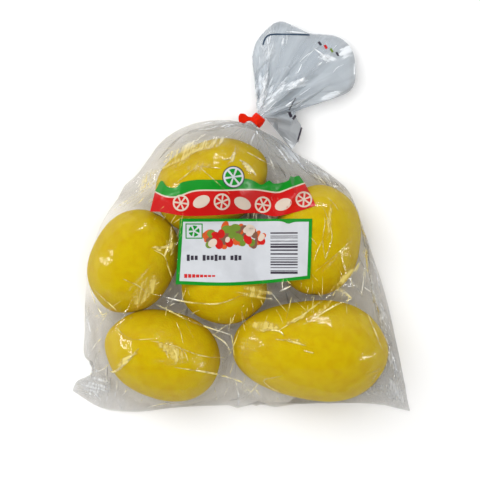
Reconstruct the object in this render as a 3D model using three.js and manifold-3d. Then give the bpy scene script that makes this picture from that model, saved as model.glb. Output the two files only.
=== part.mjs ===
// A clear film bag of six lemons, lying on its back with the printed side up.
// The film is gathered into a neck, wrapped there with a strip of tape, and its free end fans out beyond it.
// Millimetres. +X is the bag's right, +Y runs from the bottom seal to the neck, +Z is up.
// The origin is on the surface that it lies on, under the middle of its outline.
import * as THREE from "three";
import { mergeVertices } from "three/addons/utils/BufferGeometryUtils.js";
import Module from "manifold-3d";

const wasm = await Module();
wasm.setup();

// ---- Lemons: centre in plan, length over the nipple, width, heading of the nipple and its rise in degrees,
// the nipple's height over the length, and how much wider than the stem's half the nipple's half is ----
const LEMONS = [
  { x: -19.8, y: 20.2, length: 76, width: 55, heading: 26, rise: 6, nipple: 0.05, taper: -0.03 },
  { x: -69, y: -28.2, length: 69.5, width: 54.5, heading: 243, rise: -5, nipple: 0.04, taper: 0.01 },
  { x: 48.8, y: -15.2, length: 71.5, width: 55, heading: 86, rise: -5, nipple: 0.03, taper: 0.03 },
  { x: -10.8, y: -42.6, length: 56, width: 53, heading: -24, rise: 8, nipple: 0.04, taper: -0.06 },
  { x: -49.8, y: -88.4, length: 75.5, width: 56.5, heading: 163, rise: 4, nipple: 0.045, taper: -0.03 },
  { x: 43.1, y: -85, length: 99.4, width: 63.2, heading: -3, rise: 2, nipple: 0.035, taper: 0.12 },
];
const FULL = 2.35; // 2 makes a lemon an oval, more a squarer form
const NIPPLE_SPREAD = 0.3; // half-angles in radians
const STEM_END = { share: 0.02, spread: 0.35 };
const LEMON_FLOOR = 0.8; // a lemon's lowest point above the surface: the film's folds under it

// ---- Film ----
const FILM_CLEARANCE = 0.7; // the bag's skin outside a lemon
const FLAT_UNDER = 1.4; // skin lower than this lies flat on the surface
const AIR = { centre: [-14, 24, 26], radii: [48, 38, 22] }; // the air that puffs out the left shoulder
const FULL_HALF = { x: 104, z: 34 }; // half its width and height before it is pulled tight on the lemons
const FULL_MIDDLE = 30; // the height of its middle then
const FULLNESS = 0.4; // how fast it swells from its ends: less is faster
const SAG = 0.09; // how strongly the slack film sinks between the lemons: the pull on a point in one round
const SAG_FROM_FOLDS = 0.3; // it grows to that from the side folds, over this share of the width
const ROWS_BODY = 34;
const AROUND = 80; // points round the bag: the first half is the printed side, from left to right
const TIGHTEN_ROUNDS = 420;

// ---- Bottom seal, from the left corner to the right one ----
const SEAL = [
  [-110, -113.5],
  [-91, -124.5],
  [-70, -127],
  [-40, -124],
  [50, -121.5],
  [88, -122],
  [110, -126.5],
];
const SEAL_HEIGHT = 4;
const SEAL_THICK = 1;

// ---- Side folds of the flat-made bag, from the seal's corners up to the neck ----
const LEFT_FOLD = [
  [-108.4, -107.5],
  [-102.4, -104.7],
  [-96.7, -100.9],
  [-97.1, -94.9],
  [-102.4, -91.2],
  [-102, -75],
  [-99, -35],
  [-88, 1],
  [-60, 30],
  [-40, 53],
  [-14, 61.4],
];
const RIGHT_FOLD = [
  [104, -94],
  [94, -51],
  [79, -6],
  [70, 17],
  [49, 34],
  [34, 40.5],
];

// ---- Neck, at the middle of the tape ----
const NECK = { x: 10.4, y: 63, z: 13, heading: 50, radius: 3.1 };
const TAPE_WIDTH = 6.4;
const TAPE_THICK = 0.8;
const TAPE_GAP = 0.3; // between the gathered film and the tape
// The tape's ends, pressed together: "aside" is how far they stand from the neck's middle, away from the bag.
const FLAG = { reach: 12.8, width: 5.4, thick: 1.3, heading: 176, rise: 20, aside: 1.2 };
const NECK_ENDS = 1.3; // the neck's straight stretch goes on by this much past the tape
const ROWS_NECK = 3;

// ---- Gathers that run from the neck down the shoulders ----
const GATHERS = 10;
const GATHER_DEPTH = 2.4;
const GATHER_REACH = 34; // they fade out this far from the neck

// ---- Mouth of the free end, from its left edge to the flap, in plan from the middle of the tape ----
const MOUTH = [
  [-3.2, 36.4],
  [-1.4, 48.8],
  [3.6, 56.2],
  [9.8, 61.8],
  [13.5, 64],
  [18.4, 63.3],
  [25.8, 59.9],
  [33.3, 56.5],
  [44.4, 55.7],
  [50.6, 54.6],
  [56.8, 51.2],
  [61.8, 45.1],
  [63.6, 34],
  [63, 24],
  [59.9, 19.1],
  [50.6, 14.7],
  [38.3, 10.4],
  [25.3, 5.4],
  [24.3, 2.9],
  [28.6, -5.1],
  [25.8, -14.4],
  [22.1, -19.4],
];
const ROWS_TAIL = 13;
const TAIL_THICK = 1.6;
const TAIL_HEIGHT = 10; // of its middle surface at the mouth
const TAIL_FOLDS = 7;
const TAIL_FOLD_DEPTH = 4.5; // near the tape; a fifth of it is left at the mouth
const TAIL_SWEEP = 1.6; // how far the folds wander sideways on their way to the mouth, in radians of a fold
const TAIL_LIFT = 6; // the mouth's corners curl up by this much

const RAD = Math.PI / 180;
const HALF = AROUND / 2;
const mix = THREE.MathUtils.lerp;
const smooth = THREE.MathUtils.smoothstep;

// Distance from a lemon's centre to its skin, at an angle from its nipple.
function lemonReach(angle, lemon) {
  const nipple = lemon.nipple * lemon.length;
  const stem = STEM_END.share * lemon.length;
  const halfLength = (lemon.length - nipple - stem) / 2;
  const halfWidth = (lemon.width / 2) * (1 + lemon.taper * Math.cos(angle));
  const along = Math.abs(Math.cos(angle)) / halfLength;
  const aside = Math.abs(Math.sin(angle)) / halfWidth;
  const body = (along ** FULL + aside ** FULL) ** (-1 / FULL);
  const bump = nipple * Math.exp(-((angle / NIPPLE_SPREAD) ** 2));
  return body + bump + stem * Math.exp(-(((Math.PI - angle) / STEM_END.spread) ** 2));
}

// A lemon's axis, and the height of its centre when it stands LEMON_FLOOR above the surface.
function placeLemon(lemon) {
  const axis = new THREE.Vector3(1, 0, 0)
    .applyAxisAngle(new THREE.Vector3(0, 1, 0), -lemon.rise * RAD)
    .applyAxisAngle(new THREE.Vector3(0, 0, 1), lemon.heading * RAD);
  let lowest = 0;
  for (let deg = 0; deg <= 180; deg += 2) {
    // the skin's lowest point lies in the upright plane through the axis
    for (const below of [Math.sin((deg - lemon.rise) * RAD), Math.sin((deg + lemon.rise) * RAD)]) {
      lowest = Math.min(lowest, -lemonReach(deg * RAD, lemon) * below);
    }
  }
  return { ...lemon, axis, centre: new THREE.Vector3(lemon.x, lemon.y, LEMON_FLOOR - lowest) };
}

const lemons = LEMONS.map(placeLemon);
const airCentre = new THREE.Vector3(...AIR.centre);
const airRadii = new THREE.Vector3(...AIR.radii);

// Moves a point of the skin out of the lemons and the trapped air, and up to the surface.
function pushOut(point) {
  for (const lemon of lemons) {
    const out = point.clone().sub(lemon.centre);
    const distance = out.length();
    const reach = lemonReach(out.angleTo(lemon.axis), lemon) + FILM_CLEARANCE;
    if (distance < reach) point.copy(lemon.centre).addScaledVector(out, reach / distance);
  }
  const inAir = point.clone().sub(airCentre).divide(airRadii);
  if (inAir.length() < 1) point.copy(inAir.normalize().multiply(airRadii).add(airCentre));
  point.z = Math.max(point.z, 0);
}

// A smooth curve through points in plan, at one height.
function planCurve(points, height) {
  const places = points.map(([x, y]) => new THREE.Vector3(x, y, height));
  return new THREE.CatmullRomCurve3(places, false, "centripetal");
}

// Point k of a row: how far it is from left to right, 0 to 1, and its side: 1 printed, -1 for the back.
function across(k) {
  return { t: k <= HALF ? k / HALF : 2 - k / HALF, side: k <= HALF ? 1 : -1 };
}

function sealRow() {
  const curve = planCurve(SEAL, SEAL_HEIGHT);
  return Array.from({ length: AROUND }, (_, k) => {
    const { t, side } = across(k);
    const half = k % HALF === 0 ? 0 : (side * SEAL_THICK) / 2;
    return curve.getPointAt(t).add(new THREE.Vector3(0, 0, half));
  });
}

// A ring round the neck's axis, at a distance along it from the middle of the tape.
const neckMiddle = new THREE.Vector3(NECK.x, NECK.y, NECK.z);
const neckAxis = new THREE.Vector3(Math.cos(NECK.heading * RAD), Math.sin(NECK.heading * RAD), 0);
const neckLeft = new THREE.Vector3(-neckAxis.y, neckAxis.x, 0);
const up = new THREE.Vector3(0, 0, 1);

function ring(along, radius) {
  return Array.from({ length: AROUND }, (_, k) => {
    const angle = (2 * Math.PI * k) / AROUND;
    return neckMiddle
      .clone()
      .addScaledVector(neckAxis, along)
      .addScaledVector(neckLeft, radius * Math.cos(angle))
      .addScaledVector(up, radius * Math.sin(angle));
  });
}

// The bag's rows from the seal to the neck: a full bag, pulled tight over the lemons as a stretched skin.
function bodyRows() {
  const first = sealRow();
  const last = ring(-TAPE_WIDTH / 2 - NECK_ENDS, NECK.radius);
  const rows = [first];
  for (let j = 1; j < ROWS_BODY; j++) {
    const v = j / ROWS_BODY;
    rows.push(
      first.map((start, k) => {
        const angle = (2 * Math.PI * k) / AROUND;
        const swell = Math.sin(Math.PI * v) ** FULLNESS;
        const straight = start.clone().lerp(last[k], v);
        const height = FULL_MIDDLE + FULL_HALF.z * Math.sin(angle);
        const round = new THREE.Vector3(-FULL_HALF.x * Math.cos(angle), straight.y, height);
        return straight.lerp(round, swell);
      }),
    );
  }
  rows.push(last);
  const folds = [foldLine(first[0], LEFT_FOLD, last[0]), foldLine(first[HALF], RIGHT_FOLD, last[HALF])];
  for (let round = 0; round < TIGHTEN_ROUNDS; round++) {
    for (let j = 1; j < ROWS_BODY; j++) {
      rows[j].forEach((point, k) => {
        const before = rows[j][(k + AROUND - 1) % AROUND];
        const after = rows[j][(k + 1) % AROUND];
        point.copy(before).add(after).add(rows[j - 1][k]).add(rows[j + 1][k]).multiplyScalar(0.25);
        if (k < HALF) point.z -= SAG * smooth(0.5 - Math.abs(k / HALF - 0.5), 0, SAG_FROM_FOLDS);
        pushOut(point);
        if (k % HALF === 0) {
          const held = folds[k / HALF].getPointAt(j / ROWS_BODY);
          point.set(held.x, held.y, point.z);
        }
      });
    }
  }
  return rows;
}

// A side fold in plan, from the seal to the neck.
function foldLine(start, between, end) {
  const points = [[start.x, start.y], ...between, [end.x, end.y]];
  return planCurve(points, 0);
}

// Folds the skin into gathers near the neck, and lays what is close to the surface flat on it.
function finishBody(rows) {
  rows.slice(1, -1).forEach((row) => {
    const middle = row.reduce((sum, p) => sum.add(p), new THREE.Vector3()).divideScalar(AROUND);
    row.forEach((point, k) => {
      const fade = 1 - smooth(point.distanceTo(neckMiddle), TAPE_WIDTH, GATHER_REACH);
      const start = smooth(point.distanceTo(neckMiddle), TAPE_WIDTH / 2, TAPE_WIDTH * 1.6);
      const fold = GATHER_DEPTH * fade * start * Math.sin((2 * Math.PI * GATHERS * k) / AROUND);
      point.addScaledVector(point.clone().sub(middle).normalize(), fold);
      if (point.z < FLAT_UNDER) point.z = 0;
    });
  });
}

// The rows through the tape and on to the mouth. The free end is a thin folded fan.
function tailRows() {
  const mouth = planCurve(MOUTH.map(([x, y]) => [NECK.x + x, NECK.y + y]), 0);
  const rows = [];
  const reach = TAPE_WIDTH / 2 + NECK_ENDS;
  for (let j = 1; j <= ROWS_NECK; j++) rows.push(ring(mix(-reach, reach, j / ROWS_NECK), NECK.radius));
  const start = rows.at(-1);
  for (let j = 1; j <= ROWS_TAIL; j++) {
    const v = j / ROWS_TAIL;
    rows.push(
      start.map((from, k) => {
        const { t, side } = across(k);
        const rim = mouth.getPointAt(t);
        const open = smooth(v, 0, 0.35);
        const depth = TAIL_FOLD_DEPTH * smooth(v, 0.02, 0.25) * (1 - 0.8 * smooth(v, 0.3, 0.85));
        const fold = depth * Math.sin(2 * Math.PI * TAIL_FOLDS * t + TAIL_SWEEP * v);
        const curl = TAIL_LIFT * v * (2 * t - 1) ** 2;
        const half = k % HALF === 0 ? 0 : (side * TAIL_THICK) / 2;
        const middle = mix(NECK.z, TAIL_HEIGHT, v) + fold + curl;
        const point = new THREE.Vector3(mix(from.x, rim.x, v), mix(from.y, rim.y, v), 0);
        point.z = Math.max(mix(from.z, middle + half, open), half + TAIL_THICK / 2);
        return point;
      }),
    );
  }
  return rows;
}

// One closed skin through rows of AROUND points, each end shut by a strip between its two sides.
function loft(rows) {
  const positions = rows.flat().flatMap((p) => [p.x, p.y, p.z]);
  const index = [];
  const quad = (a, b, c, d) => index.push(a, b, c, a, c, d);
  for (let j = 0; j + 1 < rows.length; j++) {
    for (let k = 0; k < AROUND; k++) {
      const next = (k + 1) % AROUND;
      quad(j * AROUND + k, j * AROUND + next, (j + 1) * AROUND + next, (j + 1) * AROUND + k);
    }
  }
  const shut = (row, facing) => {
    for (let k = 0; k < HALF; k++) {
      const corners = [k, (AROUND - k) % AROUND, AROUND - k - 1, k + 1].map((i) => row * AROUND + i);
      quad(...(facing > 0 ? corners : corners.reverse()));
    }
  };
  shut(0, 1);
  shut(rows.length - 1, -1);
  const geometry = new THREE.BufferGeometry();
  geometry.setAttribute("position", new THREE.Float32BufferAttribute(positions, 3));
  geometry.setIndex(index);
  return geometry;
}

function toSolid(geometry) {
  const bare = geometry.clone();
  bare.deleteAttribute("normal");
  bare.deleteAttribute("uv");
  const merged = mergeVertices(bare, 1e-4);
  return new wasm.Manifold(
    new wasm.Mesh({
      numProp: 3,
      vertProperties: new Float32Array(merged.attributes.position.array),
      triVerts: new Uint32Array(merged.index.array),
    }),
  );
}

function toGeometry(solid) {
  const mesh = solid.getMesh();
  const geometry = new THREE.BufferGeometry();
  geometry.setAttribute("position", new THREE.BufferAttribute(mesh.vertProperties, 3));
  geometry.setIndex(new THREE.BufferAttribute(mesh.triVerts, 1));
  geometry.computeVertexNormals();
  return geometry;
}

function makeBag() {
  const body = bodyRows();
  finishBody(body);
  const film = new THREE.MeshStandardMaterial({ color: 0xd9d6c4, roughness: 0.25, metalness: 0 });
  const bag = new THREE.Mesh(loft([...body, ...tailRows()]), film);
  bag.name = "bag";
  return bag;
}

// The tape: a collar round the neck, joined to the flag of its two ends.
function makeTape() {
  const inner = NECK.radius + TAPE_GAP;
  const outer = inner + TAPE_THICK;
  const half = TAPE_WIDTH / 2;
  const wall = [
    [inner, -half],
    [outer, -half],
    [outer, half],
    [inner, half],
    [inner, -half],
  ];
  const turn = (NECK.heading - 90) * RAD;
  const profile = wall.map(([x, y]) => new THREE.Vector2(x, y));
  const collar = new THREE.LatheGeometry(profile, 40).rotateZ(turn);
  const bore = new THREE.CylinderGeometry(inner, inner, 3 * TAPE_WIDTH, 40).rotateZ(turn);
  const outline = new THREE.Shape();
  const round = FLAG.width / 4;
  outline.moveTo(0, -FLAG.width / 2);
  outline.lineTo(FLAG.reach - round, -FLAG.width / 2);
  outline.absarc(FLAG.reach - round, -FLAG.width / 2 + round, round, -Math.PI / 2, 0);
  outline.absarc(FLAG.reach - round, FLAG.width / 2 - round, round, 0, Math.PI / 2);
  outline.lineTo(0, FLAG.width / 2);
  const flat = { depth: FLAG.thick, bevelEnabled: false, curveSegments: 4 };
  const flag = new THREE.ExtrudeGeometry(outline, flat)
    .translate(0, -FLAG.aside, -FLAG.thick / 2)
    .rotateY(-FLAG.rise * RAD)
    .rotateZ(FLAG.heading * RAD);
  const solid = toSolid(collar).add(toSolid(flag)).subtract(toSolid(bore));
  const tape = new THREE.Mesh(
    toGeometry(solid),
    new THREE.MeshStandardMaterial({ color: 0xe23a10, roughness: 0.4, metalness: 0 }),
  );
  tape.name = "tape";
  tape.position.copy(neckMiddle);
  return tape;
}

const lemonBag = new THREE.Group();
lemonBag.add(makeBag(), makeTape());
export default lemonBag;
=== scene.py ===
"""A clear film bag of six lemons, gathered and taped at its neck, lying with its printed side up.

Shapes are worked out in millimetres in the frame of the CAD: +X is the bag's right, +Y runs from the
bottom seal to the neck, and +Z is up. Meshes are made in metres."""
import math
from collections import namedtuple

import bmesh
import bpy
import numpy as np
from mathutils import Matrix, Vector
from mathutils.bvhtree import BVHTree
from mathutils.geometry import delaunay_2d_cdt
from mathutils.kdtree import KDTree


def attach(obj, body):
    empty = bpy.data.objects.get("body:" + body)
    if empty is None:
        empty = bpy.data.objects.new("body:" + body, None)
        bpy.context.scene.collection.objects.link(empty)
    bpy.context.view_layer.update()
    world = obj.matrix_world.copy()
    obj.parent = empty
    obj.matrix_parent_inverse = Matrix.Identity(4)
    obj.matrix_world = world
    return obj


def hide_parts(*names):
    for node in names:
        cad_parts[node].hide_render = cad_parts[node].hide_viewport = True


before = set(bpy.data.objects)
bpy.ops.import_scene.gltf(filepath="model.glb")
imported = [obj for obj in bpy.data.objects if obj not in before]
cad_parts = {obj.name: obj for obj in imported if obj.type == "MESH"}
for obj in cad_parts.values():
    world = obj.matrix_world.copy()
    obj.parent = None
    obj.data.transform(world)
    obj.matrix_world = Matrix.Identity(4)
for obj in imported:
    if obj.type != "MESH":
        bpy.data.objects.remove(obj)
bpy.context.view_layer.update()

MM = 0.001
RAD = math.pi / 180
UP = np.array([0.0, 0.0, 1.0])

# ---- Lemons: centre in plan, length over the nipple, width, heading of the nipple and its rise, the
# nipple's height over the length, and how much wider than the stem's half the nipple's half is ----
LEMONS = [
    ("lemon_top", -19.8, 20.2, 76, 55, 26, 6, 0.05, -0.03),
    ("lemon_left", -69, -28.2, 69.5, 54.5, 243, -5, 0.04, 0.01),
    ("lemon_right", 48.8, -15.2, 71.5, 55, 86, -5, 0.03, 0.03),
    ("lemon_centre", -10.8, -42.6, 56, 53, -24, 8, 0.04, -0.06),
    ("lemon_low_left", -49.8, -88.4, 75.5, 56.5, 163, 4, 0.045, -0.03),
    ("lemon_low_right", 43.1, -85, 99.4, 63.2, -3, 2, 0.035, 0.12),
]
Lemon = namedtuple("Lemon", "name centre axis length width nipple taper")
FULL = 2.35  # 2 makes a lemon an oval, more a squarer form
STEM_SHARE, NIPPLE_SPREAD, STEM_SPREAD = 0.02, 0.3, 0.35
LEMON_FLOOR = 0.8  # a lemon's height above the surface
LEMON_DETAIL, LEMON_DENTS = 7, 7  # subdivisions of the icosphere, and broad dents in each lemon
PORE_PITCH, PORE_RADIUS, PORE_DEPTH = 1.9, 0.62, 0.11
BUTTON_RADIUS, BUTTON_DEPTH = 3.2, 0.9  # the dry spot at the stem end

# ---- Film: the outline of the bag, its side folds, neck and free end: those of the CAD, but for the last
# two points of the right fold ----
AIR_CENTRE = np.array([-14.0, 24.0, 26.0])
AIR_RADII = np.array([48.0, 38.0, 22.0])
SEAL = [(-110, -113.5), (-91, -124.5), (-70, -127), (-40, -124), (50, -121.5), (88, -122), (110, -126.5)]
SEAL_HEIGHT, SEAL_THICK = 4.0, 0.4
LEFT_FOLD = [(-108.4, -107.5), (-102.4, -104.7), (-96.7, -100.9), (-97.1, -94.9), (-102.4, -91.2),
             (-102, -75), (-99, -35), (-88, 1), (-60, 30), (-40, 53), (-14, 61.4)]
RIGHT_FOLD = [(104, -94), (94, -51), (79, -6), (70, 17), (49, 34), (35, 42), (24, 51)]
NECK = np.array([10.4, 63.0, 13.0])
NECK_HEADING, NECK_RADIUS, NECK_ENDS = 50.0, 3.1, 1.3
TAPE_WIDTH, TAPE_GAP, TAPE_THICK = 6.4, 0.3, 0.8
# The free end's mouth, in plan from the neck
MOUTH = [(-3.2, 36.4), (-1.4, 48.8), (3.6, 56.2), (9.8, 61.8), (13.5, 64), (18.4, 63.3), (25.8, 59.9),
         (33.3, 56.5), (44.4, 55.7), (50.6, 54.6), (56.8, 51.2), (61.8, 45.1), (63.6, 34), (63, 24),
         (59.9, 19.1), (50.6, 14.7), (38.3, 10.4), (25.3, 5.4), (24.3, 2.9), (28.6, -5.1),
         (25.8, -14.4), (22.1, -19.4)]
TAIL_HEIGHT, TAIL_LIFT = 10.0, 6.0
TAIL_FOLDS, TAIL_FOLD_DEPTH, TAIL_SWEEP = 7, 4.5, 1.6

AROUND, ROWS_BODY, ROWS_NECK, ROWS_TAIL = 80, 34, 3, 13  # of the first, coarse grid
FULL_HALF_WIDTH, FULL_HALF_HEIGHT, FULL_MIDDLE, FULLNESS = 104, 34, 30, 0.4  # before it is tightened
SAG, SAG_FROM_FOLDS = 0.09, 0.3  # of the printed side in a round, less near the folds
TIGHTEN_ROUNDS = 900
SKIN_GAP = 0.7  # the tight skin's distance from a lemon
FILM_GAP, LEAST_GAP = 0.5, 0.2  # the creased film's, before and after it is made of facets
FLOOR_GAP = 0.15
FLATNESS = 0.55  # 0 keeps the tight skin's own lengths, 1 those of a flat-made tube
SLACK_AROUND, SLACK_ALONG = 0.09, 0.045  # how much longer the film is than the skin
NECK_SLACK, NECK_SLACK_REACH = 0.12, 42.0  # more of it near the neck
FOLD_HOLD, MOUTH_HOLD = 0.3, 0.15  # how firmly the side folds and the mouth keep their places in a round
SIDES_APART = 0.25  # the printed side and the back
# The facets' corners: how far apart, how unevenly pushed in or out, how far out on the whole, and the
# share of the way that the film between them follows
FACET_PITCH, FACET_DEPTH, FACET_LIFT, FACET_SHARE = 10.0, 0.3, 0.35, 0.85
SITE_TRIES, CLOSE_REACH = 9000, 30  # the corners are closer together this near to the neck
TAIL_PITCH, TAIL_DEPTH = 15.0, 0.9
FLAT_ROUNDS, FLAT_BEND = 20, 0.03  # a sharper bend than this stays a crease
BENDING, WEIGHT = (0.006, 0.003), 0.02  # the film's stiffness on the two grids, and how far it falls
# How milky the film is off the lemons and past the tape, and how much more so where it is gathered, along the
# free end's edges and at its right; at its far right the milk also turns a darker grey, which is painted
# shade
VEIL_FAR, VEIL_TAIL, VEIL_GATHER, VEIL_REACH, VEIL_RIM = 0.12, 0.42, 0.24, 40, 0.16
VEIL_RIGHT, VEIL_AND_SHADE_FAR_RIGHT = 0.08, 0.3
# The short creases that lie at random: how many, and how much rarer on the lemons and the free end
FINE_CREASES, FINE_ON_LEMONS, FINE_ON_FREE_END, FREE_END_FROM = 240, 0.015, 0.4, 72
# The pinch along a crease: steps along it, gap under it, height, and its section across
STRIP_STEP, STRIP_GAP, STRIP_RISE = 0.8, 0.08, 0.6
PINCH = [(-1, 0), (-0.45, 0.5), (0.15, 1), (0.5, 0.5), (1, 0)]
FINE_BODY, FINE_NECK = ROWS_BODY * 6, (ROWS_BODY + ROWS_NECK) * 6  # rows of the last, fine grid
FIRST_ROUNDS, SECOND_ROUNDS = ((300, 100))


def smoothstep(x, low, high):
    t = np.clip((x - low) / (high - low), 0, 1)
    return t * t * (3 - 2 * t)


def curve(points, count):
    """Centripetal Catmull-Rom curve through points, sampled evenly along its length."""
    p = np.array(points, float)
    p = np.vstack([2 * p[0] - p[1], p, 2 * p[-1] - p[-2]])
    parts = []
    for i in range(1, len(p) - 2):
        p0, p1, p2, p3 = p[i - 1:i + 3]
        t1 = np.linalg.norm(p1 - p0) ** 0.5
        t2 = t1 + np.linalg.norm(p2 - p1) ** 0.5
        t3 = t2 + np.linalg.norm(p3 - p2) ** 0.5
        t = np.linspace(t1, t2, 40, endpoint=False)[:, None]
        a1 = (t1 - t) / t1 * p0 + t / t1 * p1
        a2 = (t2 - t) / (t2 - t1) * p1 + (t - t1) / (t2 - t1) * p2
        a3 = (t3 - t) / (t3 - t2) * p2 + (t - t2) / (t3 - t2) * p3
        b1 = (t2 - t) / t2 * a1 + t / t2 * a2
        b2 = (t3 - t) / (t3 - t1) * a2 + (t - t1) / (t3 - t1) * a3
        parts.append((t2 - t) / (t2 - t1) * b1 + (t - t1) / (t2 - t1) * b2)
    dense = np.vstack(parts + [p[-2][None]])
    length = np.concatenate([[0], np.cumsum(np.linalg.norm(np.diff(dense, axis=0), axis=1))])
    wanted = np.linspace(0, length[-1], count)
    return np.stack([np.interp(wanted, length, dense[:, i]) for i in range(p.shape[1])], 1)


def length_of(points):
    return np.linalg.norm(np.diff(np.array(points, float), axis=0), axis=1).sum()


def directions_of(heading, rise=0):
    """The direction of a heading that rises, and the level one to its left."""
    h, p = heading * RAD, rise * RAD
    ahead = np.array([math.cos(p) * math.cos(h), math.cos(p) * math.sin(h), math.sin(p)])
    return ahead, np.array([-math.sin(h), math.cos(h), 0])


# ---- lemons' form ----
def lemon_reach(cosine, lemon):
    """Distance from a lemon's centre to its skin, by the cosine of the angle from its nipple."""
    nipple, stem = lemon.nipple * lemon.length, STEM_SHARE * lemon.length
    cosine = np.clip(cosine, -1, 1)
    angle = np.arccos(cosine)
    half_length = (lemon.length - nipple - stem) / 2
    half_width = lemon.width / 2 * (1 + lemon.taper * cosine)
    body = (abs(cosine) / half_length) ** FULL + (np.sqrt(1 - cosine ** 2) / half_width) ** FULL
    bump = nipple * np.exp(-((angle / NIPPLE_SPREAD) ** 2))
    return body ** (-1 / FULL) + bump + stem * np.exp(-(((np.pi - angle) / STEM_SPREAD) ** 2))


def placed_lemons():
    """The lemons, each standing LEMON_FLOOR above the surface."""
    placed = []
    for name, x, y, length, width, heading, rise, nipple, taper in LEMONS:
        axis, _ = directions_of(heading, rise)
        lemon = Lemon(name, np.array([x, y, 0.0]), axis, length, width, nipple, taper)
        angle = np.arange(0, 361, 2) * RAD
        below = lemon_reach(np.cos(angle), lemon) * np.sin(angle - rise * RAD)
        lemon.centre[2] = LEMON_FLOOR + below.max()
        placed.append(lemon)
    return placed


PLACED = placed_lemons()


# ---- film's form ----
def push_out(points, gap, floor=FLOOR_GAP):
    """Moves points out of the lemons and the trapped air, and up to the surface."""
    flat = points.reshape(-1, 3)
    for lemon in PLACED:
        box = lemon.length * 0.56 + gap
        near = np.nonzero((abs(flat[:, :2] - lemon.centre[:2]) < box).all(1))[0]
        out = flat[near] - lemon.centre
        distance = np.sqrt((out ** 2).sum(1)) + 1e-9
        reach = lemon_reach(out @ lemon.axis / distance, lemon) + gap
        hit = distance < reach
        flat[near[hit]] = lemon.centre + out[hit] * (reach[hit] / distance[hit])[:, None]
    inside = (flat - AIR_CENTRE) / AIR_RADII
    size = np.sqrt((inside ** 2).sum(1))
    hit = size < 1
    flat[hit] = inside[hit] / size[hit, None] * AIR_RADII + AIR_CENTRE
    flat[:, 2] = np.maximum(flat[:, 2], floor)


def ring(along):
    """A row of points round the neck, a distance along it from the middle of the tape."""
    axis, left = directions_of(NECK_HEADING)
    angle = (np.arange(AROUND) * 2 * np.pi / AROUND)[:, None]
    return NECK + along * axis + NECK_RADIUS * (np.cos(angle) * left + np.sin(angle) * UP)


def across(around):
    """How far each point of a row is from left to right, and its side: 1 printed, -1 back, 0 fold."""
    half = around // 2
    k = np.arange(around)
    return np.where(k <= half, k / half, 2 - k / half), np.where(k <= half, 1, -1) * (k % half != 0)


def side_folds(first, last, rows):
    """The two side folds in plan, from the seal's corners to the neck."""
    half = len(first) // 2
    ends = [(first[0], LEFT_FOLD, last[0]), (first[half], RIGHT_FOLD, last[half])]
    return [curve([tuple(a[:2])] + between + [tuple(b[:2])], rows) for a, between, b in ends]


def tight_skin():
    """The body of the bag as a stretched skin over the lemons: rows from the seal to the neck."""
    t, side = across(AROUND)
    seal = curve(SEAL, AROUND // 2 + 1)[np.round(t * AROUND / 2).astype(int)]
    first = np.column_stack([seal, SEAL_HEIGHT + side * SEAL_THICK / 2])
    last = ring(-TAPE_WIDTH / 2 - NECK_ENDS)
    v = np.linspace(0, 1, ROWS_BODY + 1)[:, None, None]
    rows = first * (1 - v) + last * v
    angle = np.broadcast_to(2 * np.pi * np.arange(AROUND) / AROUND, rows.shape[:2])
    full = np.stack([-FULL_HALF_WIDTH * np.cos(angle), rows[..., 1],
                     FULL_MIDDLE + FULL_HALF_HEIGHT * np.sin(angle)], -1)
    rows += (full - rows) * np.sin(np.pi * v).clip(0) ** FULLNESS
    rows[0], rows[-1] = first, last
    folds = side_folds(first, last, ROWS_BODY + 1)
    sag = SAG * smoothstep(0.5 - abs(t - 0.5), 0, SAG_FROM_FOLDS) * (side > 0)
    for _ in range(TIGHTEN_ROUNDS):
        inner = 0.25 * (np.roll(rows, 1, 1)[1:-1] + np.roll(rows, -1, 1)[1:-1] + rows[:-2] + rows[2:])
        inner[..., 2] -= sag
        push_out(inner, SKIN_GAP, 0)
        inner[:, 0, :2], inner[:, AROUND // 2, :2] = folds[0][1:-1], folds[1][1:-1]
        rows[1:-1] = inner
    return rows


def free_end():
    """The rows through the tape and on to the mouth, before it is folded."""
    t, side = across(AROUND)
    mouth = curve([NECK[:2] + np.array(p) for p in MOUTH], AROUND // 2 + 1)
    mouth = mouth[np.round(t * AROUND / 2).astype(int)]
    reach = TAPE_WIDTH / 2 + NECK_ENDS
    rows = [ring(-reach + 2 * reach * j / ROWS_NECK) for j in range(1, ROWS_NECK + 1)]
    start = rows[-1]
    for j in range(1, ROWS_TAIL + 1):
        v = j / ROWS_TAIL
        depth = TAIL_FOLD_DEPTH * float(smoothstep(v, 0.02, 0.25) * (1 - 0.8 * smoothstep(v, 0.3, 0.85)))
        middle = NECK[2] + (TAIL_HEIGHT - NECK[2]) * v + TAIL_LIFT * v * (2 * t - 1) ** 2
        middle += depth * np.sin(2 * np.pi * TAIL_FOLDS * t + TAIL_SWEEP * v)
        height = start[:, 2] + (middle + side * (0.5 + v) - start[:, 2]) * smoothstep(v, 0, 0.35)
        plan = start[:, :2] + (mouth - start[:, :2]) * v
        rows.append(np.column_stack([plan, np.maximum(height, 0.5)]))
    return np.array(rows)


def finer_around(rows):
    """Twice the points round each row, on a smooth curve through them."""
    middle = (9 * (rows + np.roll(rows, -1, 1)) - np.roll(rows, 1, 1) - np.roll(rows, -2, 1)) / 16
    out = np.empty((rows.shape[0], rows.shape[1] * 2) + rows.shape[2:])
    out[:, 0::2], out[:, 1::2] = rows, middle
    return out


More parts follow.
